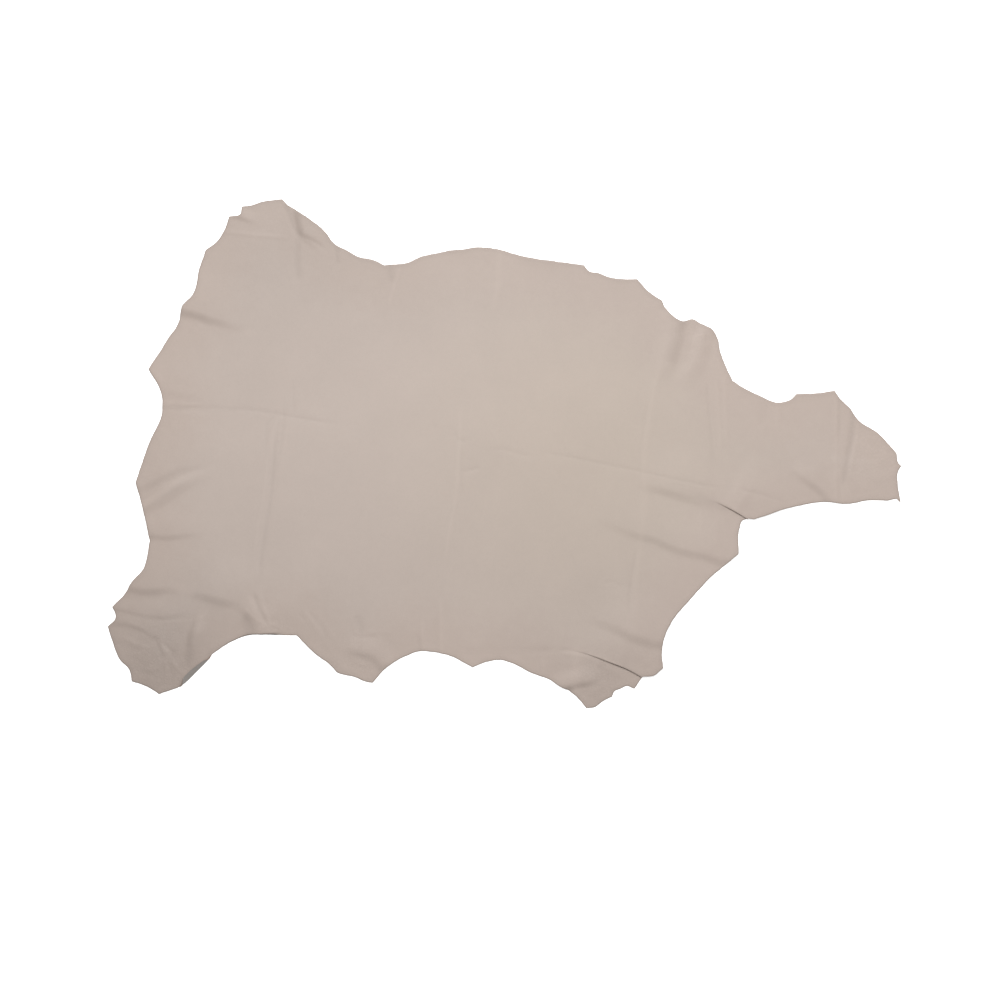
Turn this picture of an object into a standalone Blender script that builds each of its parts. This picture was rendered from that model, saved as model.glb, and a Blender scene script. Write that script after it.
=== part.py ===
"""A whole leather hide, spread out flat with its grain side up.

The hide is one skin: a thin sheet with the ragged, scalloped outline that stretching clips leave.
Its neck points along +X and its rump along -X; the spine runs close to the X axis.
Two pleats lap over themselves at the lower edge, the inner rim of the lower hind leg is turned
over, and soft ripples run in from the edge.
Lengths in the tables are millimetres; the model itself is in metres.
"""

import math
from collections import namedtuple

import bpy
import numpy as np
from mathutils import Vector
from mathutils.geometry import delaunay_2d_cdt, interpolate_bezier

NAME = "hide"
MM = 0.001

# The sheet and its folds, in millimetres: the turns of a pleat are OPEN_RADIUS wide where it starts
# and close on a gap of LAYER_GAP, it begins to lap LAP_START of the way along its open part, and the
# upper layer stays level for ROOM_OVER_LAP past the lap.
THICKNESS = 1.2
LAYER_GAP = 0.4
OPEN_RADIUS = 1.2
CLOSED_RADIUS = 0.5 * (THICKNESS + LAYER_GAP)
ROOM_OVER_LAP = 3.0
LAP_START = 0.7

# How far apart the points of the sheet are, in millimetres, and how many steps a turn and the
# turned-over part have.
EDGE_STEP = 9.0
FINE_STEP = 10.0
CALM_STEP = 40.0
CALM_SLOPE = 0.7
RIPPLE_STEP = 14.0
PLEAT_STEP = 4.0
FOLD_STEP = 5.0
TURN_STEPS = 5
TURNED_STEPS = 1
ROW_GAP = 0.6
CROWDING = 0.5

# How far from a pleat the flat pattern still gives way, and what counts as the same point.
GIVE = 110.0
SAME_PLACE = 0.001

GRAIN_COLOUR = (0.546, 0.474, 0.417, 1.0)
GRAIN_ROUGHNESS = 0.55

TIP = True
RUN = False

# The outline, clockwise seen from above: x, y, and whether the edge turns sharply there.
# A tip is where a clip held the skin; between tips the edge runs as a smooth curve.
OUTLINE = {
    "upper hind leg": (
        (-333, 382, TIP), (-326, 374, TIP), (-298, 356, RUN), (-268, 332, RUN),
        (-256, 316, RUN), (-236, 305, RUN), (-220, 296, RUN), (-198, 291, RUN),
    ),
    "upper belly": (
        (-180, 283, TIP), (-142, 288, RUN), (-126, 296, TIP), (-83, 305, TIP),
        (-62, 307, RUN), (-36, 310, RUN), (-11, 307, RUN), (25, 297, RUN),
        (89, 287, RUN), (119, 283, TIP), (127, 274, RUN), (142, 271, RUN),
        (154, 266, RUN), (178, 262, RUN), (199, 262, TIP), (217, 243, RUN),
    ),
    "upper foreleg": (
        (236, 230, TIP), (240, 220, TIP), (258, 203, RUN), (267, 199, RUN),
        (282, 202, RUN), (295, 195, TIP), (310, 188, RUN), (321, 169, RUN),
        (323, 156, RUN), (332, 131, RUN), (342, 110, TIP),
    ),
    "neck, upper edge": (
        (357, 100, RUN), (381, 88, RUN), (412, 77, RUN), (430, 82, RUN),
        (438, 90, TIP), (470, 91, RUN), (495, 95, TIP), (504, 82, RUN),
        (517, 70, RUN), (531, 50, RUN), (559, 32, RUN), (588, 1, TIP),
    ),
    "neck, end": (
        (591, -14, RUN), (595, -18, TIP), (590, -27, RUN), (590, -47, RUN),
        (594, -73, TIP), (588, -67, TIP), (575, -70, TIP),
    ),
    "neck, lower edge": (
        (544, -70, RUN), (514, -75, RUN), (482, -72, RUN), (440, -78, RUN),
        (410, -86, RUN), (388, -94, RUN), (374, -98, TIP), (365, -97, TIP),
    ),
    "lower shoulder": (
        (357, -100, RUN), (352, -113, RUN), (351, -150, TIP), (333, -165, RUN),
        (315, -180, RUN), (278, -219, RUN), (250, -253, RUN), (240, -274, RUN),
        (236, -300, RUN), (238, -321, TIP), (222, -333, RUN), (207, -334, TIP),
    ),
    "lower foreleg": (
        (195, -352, TIP), (182, -348, RUN), (174, -352, TIP), (166, -355, RUN),
        (161, -364, TIP), (146, -372, RUN), (135, -380, RUN), (123, -381, TIP),
        (110, -366, RUN), (96, -354, TIP), (85, -350, RUN), (69, -339, RUN),
    ),
    "lower belly": (
        (44, -330, RUN), (12, -314, RUN), (-6, -309, RUN), (-27, -312, RUN),
        (-48, -320, TIP), (-84, -302, RUN), (-107, -297, RUN), (-128, -296, RUN),
        (-145, -302, RUN), (-174, -318, RUN), (-198, -343, TIP), (-206, -342, RUN),
        (-226, -334, RUN), (-250, -328, RUN), (-263, -315, RUN), (-281, -302, RUN),
    ),
    "flank": (
        (-312, -272, TIP), (-327, -272, TIP), (-355, -271, RUN), (-384, -272, RUN),
        (-414, -284, RUN), (-438, -300, TIP), (-491, -351, TIP),
    ),
    "lower hind leg": (
        (-518, -360, TIP), (-536, -349, RUN), (-559, -341, TIP), (-563, -323, RUN),
        (-577, -308, RUN), (-587, -284, RUN), (-595, -259, TIP), (-583, -245, RUN),
        (-588, -229, TIP), (-569, -209, RUN), (-559, -192, RUN), (-542, -173, RUN),
    ),
    "rump": (
        (-532, -130, TIP), (-540, -92, RUN), (-553, -42, TIP), (-531, 21, RUN),
        (-514, 60, RUN), (-515, 92, RUN), (-534, 127, TIP), (-505, 172, RUN),
        (-488, 199, RUN), (-483, 222, RUN), (-468, 238, RUN), (-457, 280, RUN),
        (-448, 306, TIP), (-431, 319, RUN), (-417, 343, RUN), (-413, 356, TIP),
        (-396, 360, RUN), (-394, 371, TIP), (-379, 373, RUN), (-364, 378, RUN),
    ),
}

# Pleats: how far the fold laps over, how much of the line has the fold still open, how far the
# upper layer takes to come down again, and the fold's line from its inner end to the edge.
# The upper layer lies left of the line.
Pleat = namedtuple("Pleat", "lap open_part ramp line")
PLEATS = {
    "under the neck": Pleat(
        7.0, 0.85, 90.0,
        ((303, -69), (318, -72), (332, -78), (347, -86), (365, -97)),
    ),
    "over the lower foreleg": Pleat(
        8.0, 0.8, 105.0,
        ((84, -295), (104, -295), (127, -300), (155, -310), (185, -322), (207, -334)),
    ),
}

# The rim that is turned over, flesh side up: its fold's line from one tip of the outline to the
# next, how wide the turned part is, how it narrows toward both tips, and how much of the fold is
# still open there.
TURNED_FOLD = ((-438, -300), (-449, -312), (-463, -326), (-476, -339), (-491, -351))
TURNED_WIDTH = 6.8
TURNED_LEAN = 1.6
TURNED_FULLNESS = 0.6
TURNED_ENDS = 0.25

# Ripples: crest height, half-widths left and right of the crest line, how much of the height
# stands at the line's start and at its end, and the crest line itself.
Ripple = namedtuple("Ripple", "height left right start end line")
RIPPLES = {
    "rump, upper": Ripple(
        2.6, 75, 16, 1.0, 0.0,
        ((-489, 220), (-462, 214), (-437, 206), (-410, 198), (-370, 188)),
    ),
    "rump, middle": Ripple(
        0.6, 60, 16, 1.0, 0.0,
        ((-517, 98), (-485, 95), (-455, 90), (-420, 84)),
    ),
    "rump, above the lower fold": Ripple(
        1.2, 60, 15, 1.0, 0.0,
        ((-556, -50), (-520, -33), (-488, -18), (-450, -12)),
    ),
    "rump, lower": Ripple(
        1.8, 11, 17, 1.0, 0.0,
        ((-548, -86), (-520, -68), (-492, -48), (-455, -32), (-425, -28)),
    ),
    "thigh, top": Ripple(
        1.5, 55, 10, 1.0, 0.0,
        ((-538, -119), (-505, -121), (-468, -117), (-440, -115)),
    ),
    "thigh, upper": Ripple(
        1.9, 70, 14, 1.0, 0.0,
        ((-563, -196), (-540, -200), (-510, -199), (-470, -197)),
    ),
    "thigh, middle": Ripple(
        1.3, 32, 8, 1.0, 0.0,
        ((-588, -229), (-560, -235), (-540, -240), (-512, -242), (-478, -236), (-455, -232)),
    ),
    "thigh, lower": Ripple(
        1.2, 30, 10, 1.0, 0.0,
        ((-595, -250), (-572, -251), (-548, -257), (-530, -265), (-515, -282), (-506, -302)),
    ),
    "shin": Ripple(
        3.0, 22, 12, 0.0, 0.0,
        ((-450, -236), (-462, -262), (-469, -290), (-473, -330)),
    ),
    "flank": Ripple(
        2.1, 75, 16, 0.0, 0.0,
        ((-484, -198), (-448, -208), (-415, -217), (-385, -225), (-350, -232)),
    ),
    "flank, at the rim": Ripple(
        2.0, 30, 13, 0.0, 1.0,
        ((-404, -221), (-386, -235), (-373, -250), (-366, -271)),
    ),
    "upper hind leg": Ripple(
        2.4, 42, 16, 0.9, 0.0,
        ((-303, 360), (-302, 346), (-301, 336), (-290, 327), (-266, 312)),
    ),
    "upper hind leg, rear tip": Ripple(
        1.1, 16, 7, 1.0, 0.0,
        ((-413, 361), (-400, 358), (-386, 353), (-366, 345)),
    ),
    "foreleg, rear": Ripple(
        2.2, 18, 30, 1.0, 0.0,
        ((259, 203), (256, 180), (250, 155), (241, 125), (236, 90)),
    ),
    "foreleg, front": Ripple(
        1.6, 22, 16, 1.0, 0.0,
        ((305, 190), (293, 160), (287, 138), (272, 112), (262, 86)),
    ),
    "shoulder, over the pleat": Ripple(
        2.4, 75, 19, 0.0, 0.0,
        ((188, -38), (228, -46), (262, -55), (292, -65), (318, -74), (345, -86)),
    ),
    "shoulder": Ripple(
        2.2, 15, 85, 1.0, 0.0,
        ((340, -158), (324, -155), (300, -147), (270, -141), (248, -133), (226, -123), (198, -116),
         (165, -103), (120, -84)),
    ),
    "below the shoulder": Ripple(
        2.4, 17, 80, 1.0, 0.0,
        ((240, -281), (215, -275), (195, -269), (178, -260), (150, -248), (112, -238)),
    ),
    "lower foreleg": Ripple(
        2.2, 26, 10, 1.0, 0.0,
        ((90, -348), (108, -343), (128, -340), (150, -336)),
    ),
    "lower belly tip": Ripple(
        1.5, 13, 30, 1.0, 0.0,
        ((-181, -314), (-193, -301), (-218, -294), (-255, -290)),
    ),
    "neck": Ripple(
        1.6, 36, 13, 0.0, 0.8,
        ((427, -16), (457, -37), (475, -52), (490, -70)),
    ),
}
RIPPLE_ROWS = (-1.0, -0.65, -0.3, 0.0, 0.3, 0.65, 1.0)
RAMP_ROWS = (0.0, 0.33, 0.67, 1.0)
FADE_IN = 0.4
FADE_OUT = 0.6


def smooth(value):
    """0 below 0, 1 above 1, and a smooth ramp in between."""
    value = np.clip(value, 0.0, 1.0)
    return value * value * (3.0 - 2.0 * value)


def curve_through(knots, sharp, closed, step):
    """Points about a step apart on a smooth curve through the knots, with corners at the sharp ones."""
    knots = [Vector((float(x), float(y))) for x, y in knots]
    count = len(knots)

    def handle(index, side):
        other = knots[(index + side) % count]
        reach = other - knots[index]
        at_end = not closed and index in (0, count - 1)
        if sharp[index] or at_end:
            return knots[index] + reach / 3.0
        back = knots[index] - knots[index - 1]
        ahead = knots[(index + 1) % count] - knots[index]
        along = back.normalized() * ahead.length + ahead.normalized() * back.length
        return knots[index] + along.normalized() * (side * reach.length / 3.0)

    points = []
    for index in range(count if closed else count - 1):
        following = (index + 1) % count
        span = (knots[following] - knots[index]).length
        pieces = max(1, round(span / step))
        arc = interpolate_bezier(knots[index], handle(index, 1), handle(following, -1),
                                 knots[following], pieces + 1)
        points += [(point.x, point.y) for point in arc[:-1]]
    if not closed:
        points.append((knots[-1].x, knots[-1].y))
    return np.array(points)


def line_through(knots, step):
    """Points about a step apart on a smooth open line through the knots."""
    return curve_through(knots, [False] * len(knots), False, step)


class Path:
    """A smooth open line on the skin that points can be measured against."""

    def __init__(self, points):
        self.points = points
        spans = np.diff(self.points, axis=0)
        self.lengths = np.hypot(spans[:, 0], spans[:, 1])
        self.along = spans / self.lengths[:, None]
        marks = np.concatenate(([0.0], np.cumsum(self.lengths)))
        self.length = marks[-1]
        self.parts = marks / self.length
        along = np.vstack((self.along[:1], self.along))
        along[1:-1] += self.along[1:]
        along /= np.hypot(along[:, 0], along[:, 1])[:, None]
        self.normals = np.column_stack((-along[:, 1], along[:, 0]))

    def measure(self, places):
        """How far along the line each place is, from 0 to 1, and how far left of it."""
        best = np.full(len(places), np.inf)
        part = np.zeros(len(places))
        left = np.zeros(len(places))
        for index, start in enumerate(self.points[:-1]):
            offset = places - start
            along = self.along[index]
            run = np.clip(offset @ along, 0.0, self.lengths[index])
            miss = offset - run[:, None] * along
            distance = np.hypot(miss[:, 0], miss[:, 1])
            side = np.where(along[0] * offset[:, 1] - along[1] * offset[:, 0] >= 0.0, 1.0, -1.0)
            nearer = distance < best
            best = np.where(nearer, distance, best)
            part = np.where(nearer, self.parts[index] + run / self.length, part)
            left = np.where(nearer, side * distance, left)
        return part, left


def ripple_height(ripple, path, places):
    """Height that one ripple gives each place."""
    part, left = path.measure(places)
    width = np.where(left > 0.0, ripple.left, ripple.right)
    across = 0.5 + 0.5 * np.cos(math.pi * np.clip(np.abs(left) / width, 0.0, 1.0))
    rise = ripple.start + (1.0 - ripple.start) * smooth(part / FADE_IN)
    fall = ripple.end + (1.0 - ripple.end) * smooth((1.0 - part) / FADE_OUT)
    return ripple.height * across * rise * fall


def pleat_shape(pleat, part):
    """Turn angle, turn radius and lap of the fold, this far along its line."""
    closing = smooth(part / pleat.open_part)
    radius = OPEN_RADIUS + (CLOSED_RADIUS - OPEN_RADIUS) * closing
    lap_start = LAP_START * pleat.open_part
    lap = pleat.lap * smooth((part - lap_start) / (1.0 - lap_start))
    return math.pi * closing, radius, lap


def pleat_drop(pleat, part):
    """How far the upper layer stands above the lower one at the fold's line."""
    angle, radius, lap = pleat_shape(pleat, part)
    return 2.0 * radius * (1.0 - np.cos(angle)) + lap * np.sin(angle)


def girths(across, heights):
    """How far along the section each of its points is."""
    return np.concatenate(([0.0], np.cumsum(np.hypot(np.diff(across), np.diff(heights)))))


def pleat_section(pleat, part):
    """The fold's section: places across (toward the lower layer), heights and girths."""
    angle, radius, lap = pleat_shape(pleat, part)
    turns = [angle * step / TURN_STEPS for step in range(TURN_STEPS + 1)]
    across = [radius * math.sin(turn) for turn in turns]
    down = [radius * (1.0 - math.cos(turn)) for turn in turns]
    lap_across = across[-1] + lap * math.cos(angle)
    lap_down = down[-1] + lap * math.sin(angle)
    for turn in reversed(turns):
        across.append(lap_across + radius * (math.sin(angle) - math.sin(turn)))
        down.append(lap_down + radius * (math.cos(turn) - math.cos(angle)))
    across.append(max(0.0, across[-1]))
    down.append(down[-1])
    return np.array(across), down[-1] - np.array(down), girths(across, down)


def turned_section(part):
    """The turned-over edge's section, this far along its fold: places outward, heights, girths."""
    closing = smooth(part / TURNED_ENDS) * smooth((1.0 - part) / TURNED_ENDS)
    angle = math.pi * closing
    turns = [angle * step / TURN_STEPS for step in range(TURN_STEPS + 1)]
    outward = [CLOSED_RADIUS * math.sin(turn) for turn in turns]
    up = [CLOSED_RADIUS * (1.0 - math.cos(turn)) for turn in turns]
    width = TURNED_WIDTH * math.sin(math.pi * part ** TURNED_LEAN) ** TURNED_FULLNESS * closing
    for _ in range(TURNED_STEPS):
        outward.append(outward[-1] + width / TURNED_STEPS * math.cos(angle))
        up.append(up[-1] + width / TURNED_STEPS * math.sin(angle))
    return np.array(outward), np.array(up), girths(outward, up)


class Skin:
    """Points of the sheet: where each lies, and where it was before the pleats were laid."""

    def __init__(self):
        self.ripples = [(ripple, Path(line_through(ripple.line, RIPPLE_STEP)))
                        for ripple in RIPPLES.values()]
        self.pleats = [(pleat, Path(line_through(pleat.line, PLEAT_STEP)))
                       for pleat in PLEATS.values()]
        self.sections = [[pleat_section(pleat, part) for part in path.parts]
                         for pleat, path in self.pleats]
        self.laid = []
        self.pattern = []
        self.edges = []

    def ripple_lift(self, places):
        """Height that the ripples give each place, where two that meet don't pile up."""
        total = np.zeros(len(places))
        for ripple, path in self.ripples:
            total += ripple_height(ripple, path, places) ** 2
        return np.sqrt(total)

    def heights(self, places):
        """Height of the sheet's flesh side at each place, on the upper layer of a pleat."""
        total = self.ripple_lift(places)
        for pleat, path in self.pleats:
            part, left = path.measure(places)
            level = 1.0 - smooth((left - pleat.lap - ROOM_OVER_LAP) / pleat.ramp)
            total += np.where(left >= 0.0, pleat_drop(pleat, part) * level, 0.0)
        return total

    def unpleated(self, places):
        """The places before the pleats took up their part of the skin."""
        spots = places.astype(float).copy()
        for (pleat, path), sections in zip(self.pleats, self.sections):
            taken = [girth[-1] - across[-1] for across, _, girth in sections]
            part, left = path.measure(places)
            fade = np.where(left < 0.0, 1.0 - smooth(-left / GIVE), 0.0)
            shift = fade * np.interp(part, path.parts, taken)
            for axis in (0, 1):
                spots[:, axis] -= shift * np.interp(part, path.parts, path.normals[:, axis])
        return spots

    def add(self, laid, pattern):
        """Keep one point and give its number."""
        self.laid.append(tuple(laid))
        self.pattern.append(tuple(pattern))
        return len(self.laid) - 1

    def add_places(self, places):
        """Keep points of the plain sheet and give their numbers."""
        if len(places) == 0:
            return []
        levels = self.heights(places) + 0.5 * THICKNESS
        spots = self.unpleated(places)
        return [self.add((*place, level), spot) for place, level, spot in zip(places, levels, spots)]

    def free_of_folds(self, places, margin):
        """Which places lie clear of the sections of the pleats."""
        free = np.ones(len(places), dtype=bool)
        for (pleat, path), sections in zip(self.pleats, self.sections):
            part, left = path.measure(places)
            reach = np.interp(part, path.parts, [across[-1] for across, _, _ in sections])
            free &= (left > margin) | (left < -reach - margin)
        return free

    def add_section(self, point, away, section, earlier):
        """Lay one section of a fold, joined to the earlier one, and give its numbers by row."""
        across, levels, girth = section
        levels = levels + self.ripple_lift(point + across[:, None] * away) + 0.5 * THICKNESS
        numbers = {}
        kept = -math.inf
        for row in range(len(girth)):
            last = row == len(girth) - 1
            if last or (girth[row] - kept > ROW_GAP and girth[-1] - girth[row] > ROW_GAP):
                place = point + away * across[row]
                numbers[row] = self.add((*place, levels[row]), point + away * girth[row])
                kept = girth[row]
        if len(numbers) == 1:
            numbers[0] = numbers[len(girth) - 1]
        in_order = [numbers[row] for row in sorted(numbers)]
        self.edges += [pair for pair in zip(in_order, in_order[1:]) if pair[0] != pair[1]]
        self.edges += [(earlier[row], numbers[row]) for row in numbers if row in earlier]
        return numbers

    def add_pleat(self, path, sections):
        """Lay one pleat's folded strip and give the numbers of its last section, top to bottom."""
        numbers = {}
        for point, normal, section in zip(path.points, path.normals, sections):
            numbers = self.add_section(point, -normal, section, numbers)
        return [numbers[row] for row in sorted(numbers)]

    def add_turned_edge(self, path):
        """Lay the rim that is turned over along its fold and give the numbers of its cut edge."""
        numbers = {}
        cut_edge = []
        for point, normal, part in zip(path.points, path.normals, path.parts):
            numbers = self.add_section(point, normal, turned_section(part), numbers)
            cut_edge.append(numbers[max(numbers)])
        return cut_edge


def number_at(outline, spot):
    """Number of the outline's point at this spot."""
    return int(np.argmin(np.hypot(*(outline - spot).T)))


def outline_points():
    """The outline's points, with those of the turned-over edge on its fold."""
    knots = [knot for stretch in OUTLINE.values() for knot in stretch]
    sharp = [turn for _, _, turn in knots]
    outline = curve_through([(x, y) for x, y, _ in knots], sharp, True, EDGE_STEP)
    first = number_at(outline, TURNED_FOLD[0])
    last = number_at(outline, TURNED_FOLD[-1])
    return np.vstack((outline[:first], line_through(TURNED_FOLD, FOLD_STEP), outline[last + 1:]))


def lay_rim(skin, outline):
    """Lay the folds that reach the rim and the rim itself, and join its points."""
    laid = {}
    for (pleat, path), sections in zip(skin.pleats, skin.sections):
        laid[number_at(outline, path.points[-1])] = skin.add_pleat(path, sections)
    fold = Path(line_through(TURNED_FOLD, FOLD_STEP))
    for place, point in zip(fold.points, skin.add_turned_edge(fold)):
        laid[number_at(outline, place)] = [point]
    rim = []
    for number, place in enumerate(outline):
        rim += laid[number] if number in laid else skin.add_places(place[None, :])
    skin.edges += list(zip(rim, rim[1:] + rim[:1]))


def inside(outline, places):
    """Which places lie inside the outline."""
    within = np.zeros(len(places), dtype=bool)
    for start, end in zip(outline, np.roll(outline, -1, axis=0)):
        crosses = (start[1] > places[:, 1]) != (end[1] > places[:, 1])
        if start[1] != end[1]:
            at = start[0] + (places[:, 1] - start[1]) * (end[0] - start[0]) / (end[1] - start[1])
            within ^= crosses & (places[:, 0] < at)
    return within


def distance_to(points, places):
    """Distance from each place to the nearest of the points."""
    gaps = places[:, None, :] - points[None, :, :]
    return np.sqrt((gaps ** 2).sum(axis=2).min(axis=1))


def fold_places(skin, outline):
    """Rows of places along each ripple and above each pleat, which follow its section."""
    places = []
    for pleat, path in skin.pleats:
        for point, normal in zip(path.points, path.normals):
            for row in RAMP_ROWS:
                places.append(point + normal * (pleat.lap + ROOM_OVER_LAP + row * pleat.ramp))
    for ripple, path in skin.ripples:
        for point, normal in zip(path.points, path.normals):
            for row in RIPPLE_ROWS:
                width = ripple.left if row > 0.0 else ripple.right
                places.append(point + normal * (row * width))
    places = np.array(places)
    places = places[inside(outline, places)]
    places = places[distance_to(outline, places) > CROWDING * EDGE_STEP]
    places = places[skin.free_of_folds(places, CROWDING * FINE_STEP)]
    kept = []
    for place in places:
        if all(math.dist(place, other) > CROWDING * FINE_STEP for other in kept):
            kept.append(tuple(place))
    return np.array(kept)


def lattice_places(skin, outline, taken):
    """A triangular lattice over the skin, fine near edges and folds and coarse where it is calm."""
    corner = outline.min(axis=0)
    span = outline.max(axis=0) - corner
    row_height = FINE_STEP * math.sqrt(0.75)
    places = []
    steps = []
    for row in range(int(span[1] / row_height) + 1):
        for column in range(-row, int(span[0] / FINE_STEP) + 1):
            step = 1
            while step * FINE_STEP < CALM_STEP and row % (2 * step) + column % (2 * step) == 0:
                step *= 2
            places.append(corner + (FINE_STEP * (column + 0.5 * row), row_height * row))
            steps.append(step * FINE_STEP)
    places = np.array(places)
    steps = np.array(steps)
    within = inside(outline, places)
    places = places[within]
    steps = steps[within]
    room = distance_to(outline, places)
    clear = np.minimum(room, distance_to(taken, places)) > CROWDING * FINE_STEP
    for pleat, path in skin.pleats:
        room = np.minimum(room, np.abs(path.measure(places)[1]))
    for ripple, path in skin.ripples:
        left = path.measure(places)[1]
        beyond = np.abs(left) - np.where(left > 0.0, ripple.left, ripple.right)
        clear &= beyond > CROWDING * FINE_STEP
        room = np.minimum(room, np.abs(beyond))
    wanted = np.minimum(CALM_STEP, FINE_STEP + CALM_SLOPE * room)
    clear &= skin.free_of_folds(places, CROWDING * FINE_STEP)
    return places[clear & (steps > CROWDING * wanted)]


def lay_skin():
    """All points of the sheet, with the edges that its rim and its folds must keep."""
    skin = Skin()
    outline = outline_points()
    lay_rim(skin, outline)
    rows = fold_places(skin, outline)
    skin.add_places(rows)
    skin.add_places(lattice_places(skin, outline, rows))
    return skin


def make_sheet():
    """The middle surface of the hide as an open mesh, in metres, centred on the origin."""
    skin = lay_skin()
    spots = [Vector(spot) for spot in skin.pattern]
    inside_only = 1
    result = delaunay_2d_cdt(spots, skin.edges, [], inside_only, SAME_PLACE)
    numbers = [origin[0] for origin in result[3]]
    faces = [[numbers[corner] for corner in face] for face in result[2]]
    laid = np.array(skin.laid)
    middle = 0.5 * (laid.min(axis=0) + laid.max(axis=0))
    middle[2] = 0.0
    mesh = bpy.data.meshes.new(NAME)
    mesh.from_pydata(((laid - middle) * MM).tolist(), [], faces)
    mesh.validate()
    return mesh


def grain_material():
    """Matt, slightly sheeny pale taupe leather."""
    material = bpy.data.materials.new("leather")
    material.use_nodes = True
    shader = material.node_tree.nodes["Principled BSDF"]
    shader.inputs["Base Color"].default_value = GRAIN_COLOUR
    shader.inputs["Roughness"].default_value = GRAIN_ROUGHNESS
    shader.inputs["Metallic"].default_value = 0.0
    return material


def main():
    for thing in list(bpy.data.objects):
        bpy.data.objects.remove(thing, do_unlink=True)
    collection = bpy.data.collections.new("leather_hide")
    bpy.context.scene.collection.children.link(collection)
    hide = bpy.data.objects.new(NAME, make_sheet())
    collection.objects.link(hide)
    hide.data.materials.append(grain_material())
    hide.data.shade_smooth()
    body = hide.modifiers.new("Thickness", "SOLIDIFY")
    body.thickness = THICKNESS * MM
    body.offset = 0.0
    body.use_even_offset = True
    body.use_quality_normals = True


main()
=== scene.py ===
"""The looks of a whole leather hide, spread out flat with its grain side up.

The hide is laid again from the same outline, pleats, turned-over rim and ripples as the solid that
it stands for, with close points. It also has the creases that folding left in it, puckers where
the legs and the neck were stretched, a thinned rim, and leather on its grain, flesh and cut sides.
Its grain side carries painted shade and painted light along the creases and over wide patches.
Lengths in the tables are millimetres on the hide; the model itself is in metres.
"""

import math
from collections import namedtuple

import bpy
import numpy as np
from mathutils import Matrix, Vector, kdtree, noise
from mathutils.geometry import delaunay_2d_cdt, interpolate_bezier


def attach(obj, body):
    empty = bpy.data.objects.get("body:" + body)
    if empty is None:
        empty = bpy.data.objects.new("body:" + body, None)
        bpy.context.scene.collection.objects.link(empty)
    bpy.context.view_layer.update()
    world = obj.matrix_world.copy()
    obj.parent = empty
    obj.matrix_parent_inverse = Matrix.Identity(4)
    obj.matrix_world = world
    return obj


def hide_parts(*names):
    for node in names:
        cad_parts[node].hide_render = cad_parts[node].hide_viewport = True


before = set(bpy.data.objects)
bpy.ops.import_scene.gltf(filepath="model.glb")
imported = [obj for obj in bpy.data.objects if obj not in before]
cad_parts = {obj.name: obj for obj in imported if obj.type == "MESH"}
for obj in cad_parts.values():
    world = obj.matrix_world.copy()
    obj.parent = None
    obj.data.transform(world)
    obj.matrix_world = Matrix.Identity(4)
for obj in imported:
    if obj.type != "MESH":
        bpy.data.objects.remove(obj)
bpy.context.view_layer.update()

MM = 0.001

# The sheet and its folds, in millimetres: the turns of a pleat are OPEN_RADIUS wide where it starts
# and close on a gap of LAYER_GAP, it begins to lap LAP_START of the way along its open part, the
# upper layer stays level for ROOM_OVER_LAP past the lap, and the skin below gives way over GIVE.
THICKNESS = 1.2
LAYER_GAP = 0.4
OPEN_RADIUS = 1.2
CLOSED_RADIUS = 0.5 * (THICKNESS + LAYER_GAP)
ROOM_OVER_LAP = 3.0
LAP_START = 0.7
GIVE = 110.0

# How far apart the points of the sheet are, in millimetres, and how many steps a turn and the
# turned-over part have. Rows of a fold keep ROW_GAP apart, points keep CROWDING of a step from the
# rim and the folds, and points within SAME_PLACE are one. Points lie close in a strip RIM_STRIP
# wide along the rim, and where the skin is more puckered than PUCKERED.
EDGE_STEP = 3.0
FINE_STEP = 3.0
PATH_STEP = 5.0
PLEAT_STEP = 3.0
FOLD_STEP = 3.0
TURN_STEPS = 6
TURNED_STEPS = 3
ROW_GAP = 0.35
CROWDING = 0.5
SAME_PLACE = 0.001
RIM_STRIP = 12.0
PUCKERED = 0.1

# Rows of points just inside the rim, and how much thinner the skin is at the rim itself: it thins
# from the grain side, over the width of the first row. Faces that meet at more than SHARP_ANGLE
# have a sharp edge between them.
RIM_ROWS = (1.2, 2.3)
RIM_THINNING = 0.5
SHARP_ANGLE = math.radians(50.0)

# Colours of the grain side, of its yellower middle, of its legs and rim, of the napped flesh side
# and of the cut edge.
GRAIN_COLOUR = (0.477, 0.401, 0.355)
YELLOWED_COLOUR = (0.477, 0.401, 0.343)
LEG_COLOUR = (0.467, 0.385, 0.337)
FLESH_COLOUR = (0.245, 0.225, 0.212)
FLESH_WARM_COLOUR = (0.262, 0.237, 0.216)
CUT_COLOUR = (0.20, 0.130, 0.098)
CUT_PALE_COLOUR = (0.27, 0.185, 0.145)

# Millimetres in from the cut edge: how far the finish is rubbed, from where to where the colour of
# the legs and rim gives way, how unevenly it does, and from where to where the bare edge ends. BARE
# is how much of the cut edge's colour shows there. The pebbles and pores add MEAN_LIGHTNESS.
RUBBED_WIDTH = 9.0
LEGS_RANGE = (5.0, 110.0)
LEGS_UNEVEN = 60.0
BARE_RANGE = (0.2, 1.5)
BARE = 0.55
MEAN_LIGHTNESS = 0.09

# The studio, in metres and watts: the white floor just under the hide, which glows a little, one
# large lamp above and behind it, the pale room, and the camera straight above, whose middle lies
# below and left of the hide's, as in the photograph.
WHITE = (1.0, 1.0, 1.0, 1.0)
FLOOR_COLOUR = (0.98, 0.98, 0.98)
FLOOR_GLOW = 0.55
FLOOR_SIZE = 12.0
FLOOR_DROP = 0.0002
LAMP_SIZE = (1.08, 1.3)
LAMP_PLACE = (0.036, 1.26, 2.22)
LAMP_WATTS = 61.2
ROOM_LIGHT = 0.375
VIEW_MIDDLE = (-0.006, -0.07025)
VIEW_WIDTH = 1.5015
SENSOR_MM = 36.0
LENS_MM = 100.0
FAR_END = 100.0

TIP = True
RUN = False

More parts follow.
